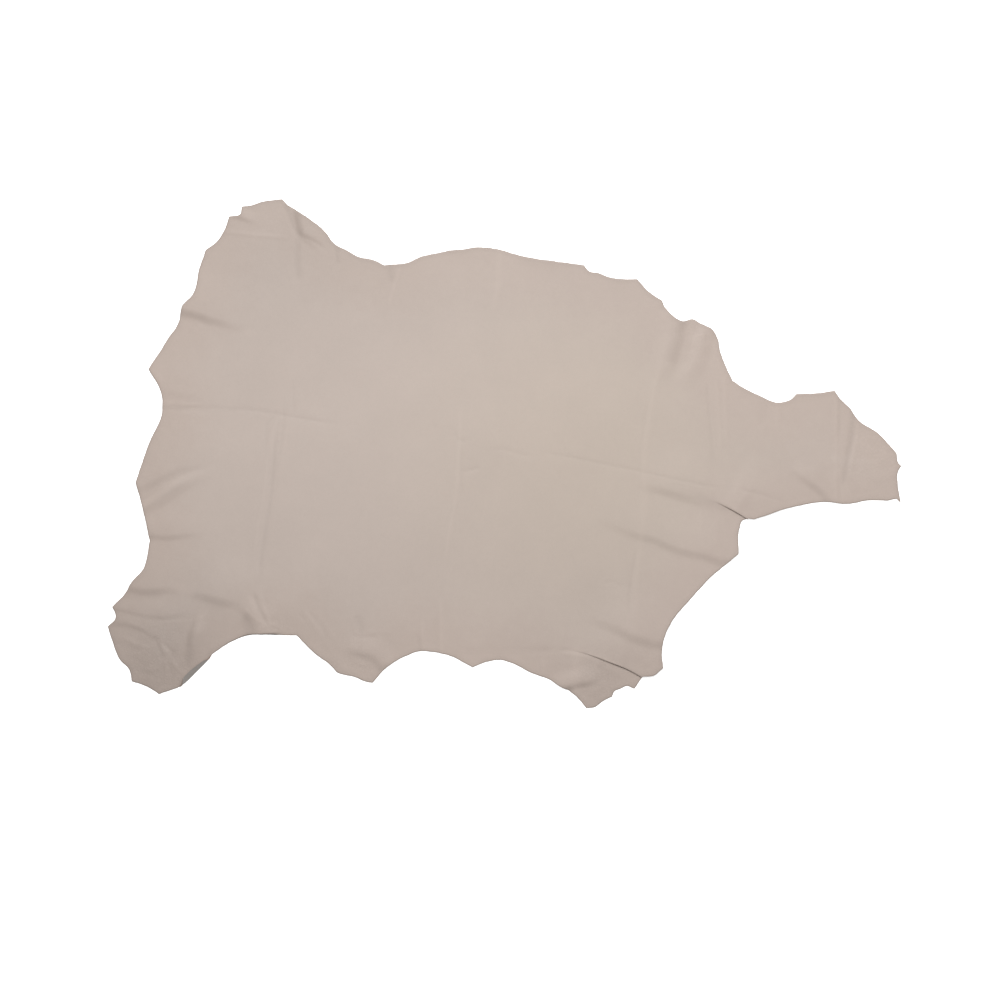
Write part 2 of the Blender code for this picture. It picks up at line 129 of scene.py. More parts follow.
# The outline, clockwise seen from above: x, y, and whether the edge turns sharply there.
# A tip is where a clip held the skin; between tips the edge runs as a smooth curve.
OUTLINE = {
    "upper hind leg": (
        (-333, 382, TIP), (-326, 374, TIP), (-298, 356, RUN), (-268, 332, RUN),
        (-256, 316, RUN), (-236, 305, RUN), (-220, 296, RUN), (-198, 291, RUN),
    ),
    "upper belly": (
        (-180, 283, TIP), (-142, 288, RUN), (-126, 296, TIP), (-83, 305, TIP),
        (-62, 307, RUN), (-36, 310, RUN), (-11, 307, RUN), (25, 297, RUN),
        (89, 287, RUN), (119, 283, TIP), (127, 274, RUN), (142, 271, RUN),
        (154, 266, RUN), (178, 262, RUN), (199, 262, TIP), (217, 243, RUN),
    ),
    "upper foreleg": (
        (236, 230, TIP), (240, 220, TIP), (258, 203, RUN), (267, 199, RUN),
        (282, 202, RUN), (295, 195, TIP), (310, 188, RUN), (321, 169, RUN),
        (323, 156, RUN), (332, 131, RUN), (342, 110, TIP),
    ),
    "neck, upper edge": (
        (357, 100, RUN), (381, 88, RUN), (412, 77, RUN), (430, 82, RUN),
        (438, 90, TIP), (470, 91, RUN), (495, 95, TIP), (504, 82, RUN),
        (517, 70, RUN), (531, 50, RUN), (559, 32, RUN), (588, 1, TIP),
    ),
    "neck, end": (
        (591, -14, RUN), (595, -18, TIP), (590, -27, RUN), (590, -47, RUN),
        (594, -73, TIP), (588, -67, TIP), (575, -70, TIP),
    ),
    "neck, lower edge": (
        (544, -70, RUN), (514, -75, RUN), (482, -72, RUN), (440, -78, RUN),
        (410, -86, RUN), (388, -94, RUN), (374, -98, TIP), (365, -97, TIP),
    ),
    "lower shoulder": (
        (357, -100, RUN), (352, -113, RUN), (351, -150, TIP), (333, -165, RUN),
        (315, -180, RUN), (278, -219, RUN), (250, -253, RUN), (240, -274, RUN),
        (236, -300, RUN), (238, -321, TIP), (222, -333, RUN), (207, -334, TIP),
    ),
    "lower foreleg": (
        (195, -352, TIP), (182, -348, RUN), (174, -352, TIP), (166, -355, RUN),
        (161, -364, TIP), (146, -372, RUN), (135, -380, RUN), (123, -381, TIP),
        (110, -366, RUN), (96, -354, TIP), (85, -350, RUN), (69, -339, RUN),
    ),
    "lower belly": (
        (44, -330, RUN), (12, -314, RUN), (-6, -309, RUN), (-27, -312, RUN),
        (-48, -320, TIP), (-84, -302, RUN), (-107, -297, RUN), (-128, -296, RUN),
        (-145, -302, RUN), (-174, -318, RUN), (-198, -343, TIP), (-206, -342, RUN),
        (-226, -334, RUN), (-250, -328, RUN), (-263, -315, RUN), (-281, -302, RUN),
    ),
    "flank": (
        (-312, -272, TIP), (-327, -272, TIP), (-355, -271, RUN), (-384, -272, RUN),
        (-414, -284, RUN), (-438, -300, TIP), (-491, -351, TIP),
    ),
    "lower hind leg": (
        (-518, -360, TIP), (-536, -349, RUN), (-559, -341, TIP), (-563, -323, RUN),
        (-577, -308, RUN), (-587, -284, RUN), (-595, -259, TIP), (-583, -245, RUN),
        (-588, -229, TIP), (-569, -209, RUN), (-559, -192, RUN), (-542, -173, RUN),
    ),
    "rump": (
        (-532, -130, TIP), (-540, -92, RUN), (-553, -42, TIP), (-531, 21, RUN),
        (-514, 60, RUN), (-515, 92, RUN), (-534, 127, TIP), (-505, 172, RUN),
        (-488, 199, RUN), (-483, 222, RUN), (-468, 238, RUN), (-457, 280, RUN),
        (-448, 306, TIP), (-431, 319, RUN), (-417, 343, RUN), (-413, 356, TIP),
        (-396, 360, RUN), (-394, 371, TIP), (-379, 373, RUN), (-364, 378, RUN),
    ),
}

# Pleats: how far the fold laps over, how much of the line has the fold still open, how far the
# upper layer takes to come down again, and the fold's line from its inner end to the edge.
# The upper layer lies left of the line.
Pleat = namedtuple("Pleat", "lap open_part ramp line")
PLEATS = {
    "under the neck": (7, 0.85, 90, (303, -69), (318, -72), (332, -78), (347, -86), (365, -97)),
    "over the lower foreleg": (
        8, 0.8, 105, (84, -295), (104, -295), (127, -300), (155, -310), (185, -322), (207, -334),
    ),
}

# The rim that is turned over, flesh side up: its fold's line from one tip of the outline to the
# next, how wide the turned part is, how it narrows toward both tips, and how much of the fold is
# still open there.
TURNED_FOLD = ((-438, -300), (-449, -312), (-463, -326), (-476, -339), (-491, -351))
TURNED_WIDTH = 6.8
TURNED_LEAN = 1.6
TURNED_FULLNESS = 0.6
TURNED_ENDS = 0.25

# Ripples: crest height, half-widths left and right of the crest line, how much of the height
# stands at the line's start and at its end, and the crest line itself. A ripple comes to its full
# height over FADE_IN of its line and leaves it over FADE_OUT.
Ripple = namedtuple("Ripple", "height left right start end line")
RIPPLES = {
    "rump, upper": (2.6, 75, 16, 1, 0, (-489, 220), (-462, 214), (-437, 206), (-410, 198), (-370, 188)),
    "rump, middle": (0.6, 60, 16, 1, 0, (-517, 98), (-485, 95), (-455, 90), (-420, 84)),
    "rump, above the lower fold": (1.2, 60, 15, 1, 0, (-556, -50), (-520, -33), (-488, -18), (-450, -12)),
    "rump, lower": (1.8, 11, 17, 1, 0, (-548, -86), (-520, -68), (-492, -48), (-455, -32), (-425, -28)),
    "thigh, top": (1.5, 55, 10, 1, 0, (-538, -119), (-505, -121), (-468, -117), (-440, -115)),
    "thigh, upper": (1.9, 70, 14, 1, 0, (-563, -196), (-540, -200), (-510, -199), (-470, -197)),
    "thigh, middle": (
        1.3, 32, 8, 1, 0, (-588, -229), (-560, -235), (-540, -240), (-512, -242), (-478, -236),
        (-455, -232),
    ),
    "thigh, lower": (
        1.2, 30, 10, 1, 0, (-595, -250), (-572, -251), (-548, -257), (-530, -265), (-515, -282),
        (-506, -302),
    ),
    "shin": (3, 22, 12, 0, 0, (-450, -236), (-462, -262), (-469, -290), (-473, -330)),
    "flank": (2.1, 75, 16, 0, 0, (-484, -198), (-448, -208), (-415, -217), (-385, -225), (-350, -232)),
    "flank, at the rim": (2, 30, 13, 0, 1, (-404, -221), (-386, -235), (-373, -250), (-366, -271)),
    "upper hind leg": (
        2.4, 42, 16, 0.9, 0, (-303, 360), (-302, 346), (-301, 336), (-290, 327), (-266, 312),
    ),
    "upper hind leg, rear tip": (1.1, 16, 7, 1, 0, (-413, 361), (-400, 358), (-386, 353), (-366, 345)),
    "foreleg, rear": (2.2, 18, 30, 1, 0, (259, 203), (256, 180), (250, 155), (241, 125), (236, 90)),
    "foreleg, front": (1.6, 22, 16, 1, 0, (305, 190), (293, 160), (287, 138), (272, 112), (262, 86)),
    "shoulder, over the pleat": (
        2.4, 75, 19, 0, 0, (188, -38), (228, -46), (262, -55), (292, -65), (318, -74), (345, -86),
    ),
    "shoulder": (
        2.2, 15, 85, 1, 0, (340, -158), (324, -155), (300, -147), (270, -141), (248, -133), (226, -123),
        (198, -116), (165, -103), (120, -84),
    ),
    "below the shoulder": (
        2.4, 17, 80, 1, 0, (240, -281), (215, -275), (195, -269), (178, -260), (150, -248), (112, -238),
    ),
    "lower foreleg": (2.2, 26, 10, 1, 0, (90, -348), (108, -343), (128, -340), (150, -336)),
    "lower belly tip": (1.5, 13, 30, 1, 0, (-181, -314), (-193, -301), (-218, -294), (-255, -290)),
    "neck": (1.6, 36, 13, 0, 0.8, (427, -16), (457, -37), (475, -52), (490, -70)),
}
FADE_IN = 0.4
FADE_OUT = 0.6

# Creases that folding and stretching left in the leather: height of the ridge, half-width, how much
# lighter the grain side is painted along it, and its line. A trough has a negative height, and a row
# of no height only paints the grain lighter or darker. This painted tone is mostly painted shade and
# painted light: darker along troughs, shaded flanks of ripples and folds, spots at the rim, the bands
# before the pleats and the flank's lower cut edge, and lighter along ridges, lit flanks and the lower
# foreleg's pleat line. A little of it is the finish, paler where it was stretched. Each fades over
# CREASE_FADE of its line at both ends, so a line that runs off the skin keeps its depth at the rim.
Crease = namedtuple("Crease", "height width tone line")
CREASES = {
    "spine, rear": (
        -0.3, 4, -0.03, (-560, 75), (-513, 72), (-455, 70), (-400, 67), (-349, 62), (-310, 54),
        (-254, 46), (-225, 43),
    ),
    "spine, rear, below": (-0.2, 6, -0.01, (-545, 66), (-510, 67), (-465, 66), (-430, 62)),
    "spine, middle": (-0.2, 4, -0.014, (-30, 5), (0, 6), (30, -2), (50, -2)),
    "spine, front": (
        -0.25, 3.5, -0.034, (38, 5), (70, 1), (100, -5), (150, -15), (190, -23), (230, -32), (272, -41),
        (310, -48), (350, -54),
    ),
    "spine, neck": (-0.35, 3.5, -0.034, (345, -52), (361, -55), (383, -60), (413, -69), (430, -74)),
    "rear, long trough": (
        -0.5, 5, -0.045, (-341, 50), (-344, 10), (-347, -30), (-350, -64), (-356, -100), (-364, -154),
        (-370, -205),
    ),
    "rear, long ridge": (
        0.3, 4, 0.02, (-352, 38), (-356, 0), (-359, -40), (-365, -85), (-373, -130), (-377, -180),
    ),
    "rear, hook": (-0.3, 3, -0.028, (-336, 62), (-346, 55), (-355, 44), (-357, 21), (-355, -10)),
    "rear, hook ridge": (0.3, 3, 0.02, (-334, 55), (-344, 44), (-349, 20), (-350, -5)),
    "rear, front trough": (-0.3, 3, -0.024, (-332, 82), (-331, 51), (-334, 26), (-339, -12)),
    "rear, front ridge": (0.25, 3, 0.018, (-323, 60), (-327, 30), (-333, -10), (-337, -40)),
    "rear, top": (-0.2, 3, -0.02, (-318, 118), (-317, 101), (-317, 76), (-314, 50)),
    "flank, streak": (
        -0.8, 4.5, -0.048, (-377, -208), (-373, -220), (-368, -234), (-360, -250), (-359, -258),
    ),
    "flank, rear ridge": (0.25, 4, 0.006, (-386, -210), (-380, -228), (-372, -250)),
    "flank, front ridge": (0.35, 4, 0.01, (-368, -206), (-360, -232), (-352, -258)),
    "flank, fold ridge": (0.25, 3.5, 0.024, (-390, -229), (-382, -239), (-374, -247), (-359, -257)),
    "flank, at the rim": (0.2, 3, 0.008, (-370, -266), (-357, -258), (-340, -256)),
    "flank, at the rim, lower": (-0.3, 3, -0.012, (-356, -266), (-340, -262), (-328, -272)),
    "flank, first diagonal": (-0.25, 3, -0.006, (-312, -236), (-298, -252), (-290, -268)),
    "flank, second diagonal": (0.25, 3, 0.006, (-304, -232), (-290, -250), (-276, -272)),
    "flank, third diagonal": (-0.25, 3, -0.006, (-296, -236), (-278, -256), (-262, -284)),
    "flank, fourth diagonal": (0.2, 3, 0.005, (-286, -232), (-268, -256), (-254, -280)),
    "middle, light": (
        0.35, 5, 0.03, (-66, 88), (-67, 50), (-68, 20), (-70, -24), (-74, -70), (-85, -129), (-92, -180),
    ),
    "middle, dark": (-0.25, 3.5, -0.02, (-64, 15), (-65, -20), (-63, -70)),
    "middle, knot": (-0.5, 4, -0.024, (-66, -27), (-51, -24), (-36, -20)),
    "middle, hook": (-0.25, 4, -0.016, (-76, 34), (-70, 22), (-56, 18)),
    "middle, low": (0.3, 4, 0.034, (-96, -212), (-95, -250), (-94, -315)),
    "middle, low, front": (-0.25, 3, -0.008, (-105, -240), (-104, -270), (-103, -310)),
    "middle, top": (0.25, 7, 0.022, (-6, 320), (-8, 285), (-12, 240), (-20, 205)),
    "middle, top, rear": (-0.3, 9, -0.007, (-28, 325), (-27, 300), (-25, 270)),
    "front, light": (
        0.3, 9, 0.021, (251, 208), (243, 170), (233, 126), (225, 98), (220, 60), (213, 20), (209, -15),
        (210, -60), (208, -95), (202, -148), (198, -190), (196, -230), (191, -285),
    ),
    "front, dark": (-0.35, 4.5, -0.026, (202, -130), (194, -165), (188, -205), (186, -250)),
    "front, second light": (0.35, 4.5, 0.024, (317, 118), (319, 96), (321, 60), (323, 31), (323, -10)),
    "front, second dark": (-0.35, 4, -0.03, (303, 118), (304, 90), (308, 45), (312, 0), (313, -30)),
    "front, third light": (0.2, 5, 0.026, (328, 128), (330, 90), (331, 50), (332, 10)),
    "shoulder, wisp": (-0.2, 4, -0.006, (146, -196), (164, -192), (178, -203)),
    "foreleg, rim": (-0.6, 4.5, -0.016, (299, 205), (301, 186), (306, 166)),
    "foreleg, rear, dark": (0, 16, -0.04, (266, 206), (262, 184), (254, 158), (248, 132)),
    "foreleg, middle": (0.3, 4, 0.01, (286, 182), (284, 162), (280, 146)),
    "foreleg, notch": (-0.5, 4, -0.014, (248, 226), (236, 218), (226, 215)),
    "neck root, light": (0.4, 6, 0.012, (409, 92), (411, 68), (413, 44)),
    "neck root, dark": (-0.4, 10, -0.012, (394, 96), (388, 64), (384, 36)),
    "neck, thin dark": (-0.3, 3, -0.05, (503, 112), (502, 80), (502, 52), (501, 20)),
    "neck, thin light": (0.25, 3.5, 0.026, (497, 105), (497, 60), (497, 10), (497, -40), (498, -84)),
    "neck, curve": (-0.6, 7.5, -0.075, (530, 84), (523, 58), (520, 22), (514, -10), (510, -33), (507, -56)),
    "neck, curve, light": (0.2, 4, 0.016, (532, 52), (528, 20), (521, -12), (516, -34)),
    "spine, rear, light": (0.2, 3, 0.01, (-540, 80), (-509, 77), (-480, 74), (-450, 72)),
    "front, dark, upper": (-0.2, 3, -0.014, (222, 100), (212, 60), (203, -20), (202, -60)),
    # Painted shade over the lit ramp of the neck pleat and in the soft band before its fold.
    "ramp of the neck pleat": (0, 14, -0.02, (320, -82), (328, -64), (343, -35), (361, 2), (368, 16)),
    "before the neck pleat": (0, 9, -0.045, (276, -58), (298, -66), (318, -76), (340, -90)),
    "below the pleat, first": (0.2, 3, 0.014, (293, -80), (294, -110), (296, -150)),
    "below the pleat, second": (0.2, 3, 0.012, (318, -92), (317, -110), (317, -145)),
    "upper hind leg, tip": (
        -0.8, 8, -0.03, (-330, 384), (-325, 370), (-317, 350), (-309, 331), (-303, 318),
    ),
    "hind leg, toe, light": (0.4, 4, 0.012, (-510, -302), (-496, -316), (-478, -333)),
    "hind leg, middle dark": (-0.5, 4, -0.014, (-526, -272), (-508, -288), (-490, -302)),
    "hind leg, heel light": (0.35, 5, 0.008, (-574, -274), (-555, -284), (-528, -292)),
    "hind leg, heel dark": (-0.4, 5, -0.01, (-592, -280), (-566, -290), (-540, -297)),
    "hind leg, sole dark": (-0.5, 5, -0.012, (-560, -320), (-537, -331), (-512, -338)),
    "hind leg, sole light": (0.4, 4.5, 0.012, (-516, -284), (-510, -308), (-505, -332)),
    "neck, low, dark": (-0.4, 4, -0.01, (500, -36), (504, -58), (504, -88)),
    "neck, low, wide dark": (0, 9, -0.06, (452, -42), (468, -52), (480, -64), (490, -84)),
    "neck, ripple, shaded": (0, 20, -0.02, (436, 6), (452, -8), (472, -24), (488, -40)),
    "neck, end": (-0.5, 6, -0.012, (592, 12), (581, 4), (572, 2)),
    "upper hind leg, thin": (-0.5, 4, -0.016, (-318, 332), (-305, 327), (-283, 317), (-270, 306)),
    "upper hind leg, vertical": (-0.3, 9, -0.04, (-311, 330), (-311, 294), (-309, 256)),
    "upper hind leg, rear": (0.35, 4, 0.014, (-435, 335), (-400, 331), (-360, 327), (-318, 324)),
    "belly, first": (-0.5, 6, -0.044, (-252, 334), (-251, 305), (-249, 280)),
    "belly, second": (-0.6, 8, -0.044, (-173, 300), (-171, 276), (-168, 252)),
    "belly, second, light": (0.3, 4.5, 0.036, (-156, 282), (-164, 256), (-174, 222)),
    "belly, front": (0.25, 5.5, 0.007, (106, 305), (107, 275), (112, 245)),
    "lower belly, stub": (-0.6, 4.5, -0.04, (-126, -312), (-126, -292), (-130, -270)),
    "lower belly, stub, light": (0.3, 5, 0.024, (-121, -300), (-123, -276), (-124, -250)),
    "lower belly, band": (-0.4, 8, -0.01, (-70, -296), (-20, -297), (35, -296), (88, -293)),
    "belly tip, lower": (-0.5, 4, -0.012, (-246, -314), (-216, -320), (-176, -326)),
    "belly tip, at the rim": (0, 8, -0.06, (-184, -334), (-192, -318), (-205, -307), (-228, -300)),
    "belly tip, trough": (-0.3, 4.5, -0.014, (-230, -273), (-210, -275), (-190, -274)),
    "belly tip, ridge": (0.15, 4.5, 0.002, (-220, -266), (-195, -268), (-165, -267)),
    "belly tip, upright": (-0.35, 9, -0.024, (-223, -240), (-218, -254), (-212, -272)),
    "thigh, upper, dark": (0, 13, -0.045, (-590, -208), (-562, -211), (-538, -211), (-510, -209)),
    "flank, dark": (0, 14, -0.034, (-474, -211), (-454, -217), (-434, -225), (-414, -230)),
    "flank, paler gap": (0, 9, 0.03, (-414, -227), (-402, -232), (-392, -239), (-386, -246)),
    "flank, at the rim, dark": (0, 12, -0.07, (-394, -238), (-388, -249), (-384, -262), (-383, -286)),
    # Painted shadow along the flank's lower cut edge, on top of the edge's own darker colour.
    "flank, cut edge, painted shadow": (
        0, 3.6, -0.6, (-422, -289), (-405, -281), (-385, -273), (-368, -272), (-345, -271), (-328, -273),
    ),
    "flank, left, paler": (0, 10, 0.03, (-500, -200), (-482, -203), (-462, -209)),
    "shin, dark": (-0.3, 9, -0.045, (-460, -242), (-466, -258), (-471, -280), (-472, -300), (-477, -326)),
    "upper hind leg, tip, dark": (0, 9, -0.055, (-316, 368), (-310, 353), (-305, 341), (-302, 328)),
    "upper hind leg, tip, thin": (-0.3, 4, -0.034, (-328, 374), (-320, 352), (-313, 333)),
    "upper hind leg, shaded": (0, 16, -0.012, (-306, 366), (-292, 346), (-276, 326)),
    "rump, upper, at the rim": (0, 9, -0.045, (-506, 219), (-484, 214), (-462, 208), (-442, 201)),
    "rump, upper, light": (0, 10, 0.028, (-446, 196), (-420, 190), (-390, 183), (-366, 176)),
    "rump, lower, above": (0, 7, -0.03, (-545, -58), (-520, -41), (-494, -26), (-461, -21), (-440, -20)),
    "rump, lower, below": (0, 8, -0.03, (-556, -94), (-534, -80), (-517, -67), (-494, -52), (-470, -41)),
    "spine, at the rim": (-0.2, 5, -0.036, (-540, 71), (-515, 70), (-495, 68), (-465, 67)),
    # Painted light along the fold line of the lower foreleg's pleat, lightening its shadow, and painted
    # shade in the band before the pleat.
    "over the lower foreleg, paler": (
        0, 4, 0.12, (84, -295), (104, -295), (127, -300), (155, -310), (185, -322),
    ),
    "before the lower foreleg": (
        -0.3, 4, -0.05, (78, -294), (92, -294), (106, -296), (120, -299), (134, -303),
    ),
    "before the lower foreleg, light": (0.2, 4.5, 0.016, (80, -301), (100, -301), (124, -306), (148, -315)),
    "hind leg, thin ridge": (0.2, 3.5, 0.006, (-526, -255), (-500, -253), (-470, -251), (-440, -242)),
    "hind leg, knee": (0.2, 4, 0.004, (-440, -232), (-460, -252), (-476, -280)),
    "hind leg, inner dark": (-0.6, 5, -0.014, (-527, -272), (-518, -292), (-510, -312)),
    "hind leg, inner light": (0.5, 4.5, 0.012, (-520, -272), (-508, -296), (-496, -312)),
    "hind leg, upper light": (0.35, 3.5, 0.008, (-564, -254), (-543, -262), (-526, -276)),
    "hind leg, first low": (-0.5, 6, -0.014, (-496, -292), (-502, -316), (-500, -336)),
    "hind leg, second low": (-0.5, 5, -0.012, (-480, -312), (-490, -328), (-504, -340)),
    "hind leg, third low": (-0.4, 5, -0.01, (-552, -322), (-530, -329), (-508, -322)),
    "hind leg, toe": (-0.6, 5, -0.014, (-528, -350), (-510, -345), (-492, -342)),
    "foreleg, light patch": (0.3, 14, 0.034, (108, -286), (108, -320), (104, -356)),
    "foreleg, dark patch": (-0.3, 10, -0.03, (140, -314), (156, -330), (176, -340)),
    "foreleg, corner": (0, 8, -0.12, (60, -368), (78, -361), (92, -354), (106, -350)),
    "foreleg, wisp": (0.3, 5, 0.01, (57, -306), (57, -320), (58, -338)),
}
CREASE_FADE = 0.2

# Wide patches: the middle of each, its radius, how puckered the skin is and how much lighter the
# grain side is painted there. The skin is denser and was stretched at the legs, the neck and the
# belly. The painted tone is partly the darker skin of the legs and partly painted shade and light:
# darker over the top of the hide, nearest the lamp, and over the lower hind leg, and lighter over
# the neck, the lower shoulder and the lower belly.
Patch = namedtuple("Patch", "x y radius puckered tone")
PATCHES = {
    "lower hind leg": (-520, -320, 125, 1, -0.06),
    "lower hind leg and thigh": (-525, -320, 240, 0, -0.125),
    "flank": (-350, -262, 62, 0.7, 0),
    "flank and belly tip": (-290, -300, 140, 0, -0.03),
    "lower belly": (-60, -330, 190, 0, 0.03),
    "lower belly tip": (-225, -310, 70, 0.8, 0),
    "lower foreleg": (140, -350, 85, 1, -0.08),
    "lower foreleg, front": (215, -310, 60, 0.6, -0.03),
    "lower shoulder": (300, -180, 120, 0, 0.035),
    "over the lower foreleg": (138, -222, 70, 0, -0.02),
    "neck": (550, -5, 110, 0.8, 0),
    "neck, whole": (590, -30, 230, 0, 0.042),
    "upper hind leg": (-340, 355, 170, 0.2, 0),
    "upper hind leg and thigh": (-350, 340, 330, 0, -0.125),
    "upper belly": (-60, 360, 340, 0, -0.092),
    "upper shoulder": (200, 300, 260, 0, -0.075),
    "upper foreleg": (280, 175, 70, 0.7, -0.02),
    "rump": (-545, 20, 100, 0.5, -0.02),
    "rump, whole": (-560, -60, 150, 0, -0.025),
}

# The middle of the skin is a little yellower: where, and how far out from there.
Spot = namedtuple("Spot", "x y radius")
YELLOWED = Spot(143, -9, 430)

# Unevenness that no row above describes: how high it stands and how long its lumps are. The rim's
# curl reaches CURL_REACH inward, the waves die away over CALM_RIM toward the rim, and the knife's
# ragged steps die away over FOLD_REACH toward a fold.
Lumps = namedtuple("Lumps", "height size seed")
WAVES = Lumps(0.7, 95.0, 3.1)
LONG_PUCKERS = Lumps(0.5, 15.0, 11.7)
SHORT_PUCKERS = Lumps(0.1, 6.0, 23.9)
RIM_CURL = Lumps(0.8, 38.0, 41.3)
RAGGED_RIM = Lumps(0.5, 7.0, 57.7)
CURL_REACH = 14.0
CALM_RIM = 45.0
FOLD_REACH = 15.0


def smooth(value):
    """0 below 0, 1 above 1, and a smooth ramp in between."""
    value = np.clip(value, 0.0, 1.0)
    return value * value * (3.0 - 2.0 * value)


def curve_through(knots, sharp, closed, step):
    """Points about a step apart on a smooth curve through the knots, with corners at the sharp ones."""
    knots = [Vector((float(x), float(y))) for x, y in knots]
    count = len(knots)

    def handle(index, side):
        """The curve's handle at a knot, toward the next knot (1) or the one before it (-1)."""
        other = knots[(index + side) % count]
        reach = other - knots[index]
        at_end = not closed and index in (0, count - 1)
        if sharp[index] or at_end:
            return knots[index] + reach / 3.0
        back = knots[index] - knots[index - 1]
        ahead = knots[(index + 1) % count] - knots[index]
        along = back.normalized() * ahead.length + ahead.normalized() * back.length
        return knots[index] + along.normalized() * (side * reach.length / 3.0)

    points = []
    for index in range(count if closed else count - 1):
        following = (index + 1) % count
        span = (knots[following] - knots[index]).length
        pieces = max(1, round(span / step))
        arc = interpolate_bezier(knots[index], handle(index, 1), handle(following, -1),
                                 knots[following], pieces + 1)
        points += [(point.x, point.y) for point in arc[:-1]]
    if not closed:
        points.append((knots[-1].x, knots[-1].y))
    return np.array(points)


def line_through(knots, step):
    """Points about a step apart on a smooth open line through the knots."""
    return curve_through(knots, [False] * len(knots), False, step)


class Path:
    """A smooth open line on the skin that points can be measured against."""

    def __init__(self, points):
        self.points = points
        spans = np.diff(self.points, axis=0)
        self.lengths = np.hypot(spans[:, 0], spans[:, 1])
        self.along = spans / self.lengths[:, None]
        marks = np.concatenate(([0.0], np.cumsum(self.lengths)))
        self.length = marks[-1]
        self.parts = marks / self.length
        along = np.vstack((self.along[:1], self.along))
        along[1:-1] += self.along[1:]
        along /= np.hypot(along[:, 0], along[:, 1])[:, None]
        self.normals = np.column_stack((-along[:, 1], along[:, 0]))

    def measure(self, places):
        """How far along the line each place is, from 0 to 1, and how far left of it."""
        best = np.full(len(places), np.inf)
        part = np.zeros(len(places))
        left = np.zeros(len(places))
        for index, start in enumerate(self.points[:-1]):
            offset = places - start
            along = self.along[index]
            run = np.clip(offset @ along, 0.0, self.lengths[index])
            miss = offset - run[:, None] * along
            distance = np.hypot(miss[:, 0], miss[:, 1])
            side = np.where(along[0] * offset[:, 1] - along[1] * offset[:, 0] >= 0.0, 1.0, -1.0)
            nearer = distance < best
            best = np.where(nearer, distance, best)
            part = np.where(nearer, self.parts[index] + run / self.length, part)
            left = np.where(nearer, side * distance, left)
        return part, left

    def near(self, places, reach):
        """Numbers of the places in the line's box, widened by the reach."""
        low = self.points.min(axis=0) - reach
        high = self.points.max(axis=0) + reach
        return np.nonzero(((places > low) & (places < high)).all(axis=1))[0]


def with_paths(kind, rows, step):
    """A table's rows as tuples of this kind, each with the path through its line's points."""
    numbers = len(kind._fields) - 1
    items = [kind(*row[:numbers], row[numbers:]) for row in rows.values()]
    return [(item, Path(line_through(item.line, step))) for item in items]


def ripple_height(ripple, path, places):
    """Height that one ripple gives each place."""
    part, left = path.measure(places)
    width = np.where(left > 0.0, ripple.left, ripple.right)
    across = 0.5 + 0.5 * np.cos(math.pi * np.clip(np.abs(left) / width, 0.0, 1.0))
    rise = ripple.start + (1.0 - ripple.start) * smooth(part / FADE_IN)
    fall = ripple.end + (1.0 - ripple.end) * smooth((1.0 - part) / FADE_OUT)
    return ripple.height * across * rise * fall


def pleat_shape(pleat, part):
    """Turn angle, turn radius and lap of the fold, this far along its line."""
    closing = smooth(part / pleat.open_part)
    radius = OPEN_RADIUS + (CLOSED_RADIUS - OPEN_RADIUS) * closing
    lap_start = LAP_START * pleat.open_part
    lap = pleat.lap * smooth((part - lap_start) / (1.0 - lap_start))
    return math.pi * closing, radius, lap


def pleat_drop(pleat, part):
    """How far the upper layer stands above the lower one at the fold's line."""
    angle, radius, lap = pleat_shape(pleat, part)
    return 2.0 * radius * (1.0 - np.cos(angle)) + lap * np.sin(angle)


def girths(across, heights):
    """How far along the section each of its points is."""
    return np.concatenate(([0.0], np.cumsum(np.hypot(np.diff(across), np.diff(heights)))))


def pleat_section(pleat, part):
    """The fold's section: places across (toward the lower layer), heights and girths."""
    angle, radius, lap = pleat_shape(pleat, part)
    turns = [angle * step / TURN_STEPS for step in range(TURN_STEPS + 1)]
    across = [radius * math.sin(turn) for turn in turns]
    down = [radius * (1.0 - math.cos(turn)) for turn in turns]
    lap_across = across[-1] + lap * math.cos(angle)
    lap_down = down[-1] + lap * math.sin(angle)
    for turn in reversed(turns):
        across.append(lap_across + radius * (math.sin(angle) - math.sin(turn)))
        down.append(lap_down + radius * (math.cos(turn) - math.cos(angle)))
    across.append(max(0.0, across[-1]))
    down.append(down[-1])
    return np.array(across), down[-1] - np.array(down), girths(across, down)


def turned_section(part):
    """The turned-over edge's section, this far along its fold: places outward, heights, girths."""
    closing = smooth(part / TURNED_ENDS) * smooth((1.0 - part) / TURNED_ENDS)
    angle = math.pi * closing
    turns = [angle * step / TURN_STEPS for step in range(TURN_STEPS + 1)]
    outward = [CLOSED_RADIUS * math.sin(turn) for turn in turns]
    up = [CLOSED_RADIUS * (1.0 - math.cos(turn)) for turn in turns]
    width = TURNED_WIDTH * math.sin(math.pi * part ** TURNED_LEAN) ** TURNED_FULLNESS * closing
    for _ in range(TURNED_STEPS):
        outward.append(outward[-1] + width / TURNED_STEPS * math.cos(angle))
        up.append(up[-1] + width / TURNED_STEPS * math.sin(angle))
    return np.array(outward), np.array(up), girths(outward, up)


def cloud(places, lumps):
    """Smooth seeded noise at each place, from about minus to plus the height of the lumps."""
    size = lumps.size
    return lumps.height * np.array([noise.noise(Vector((x / size, y / size, lumps.seed)))
                                    for x, y in places])


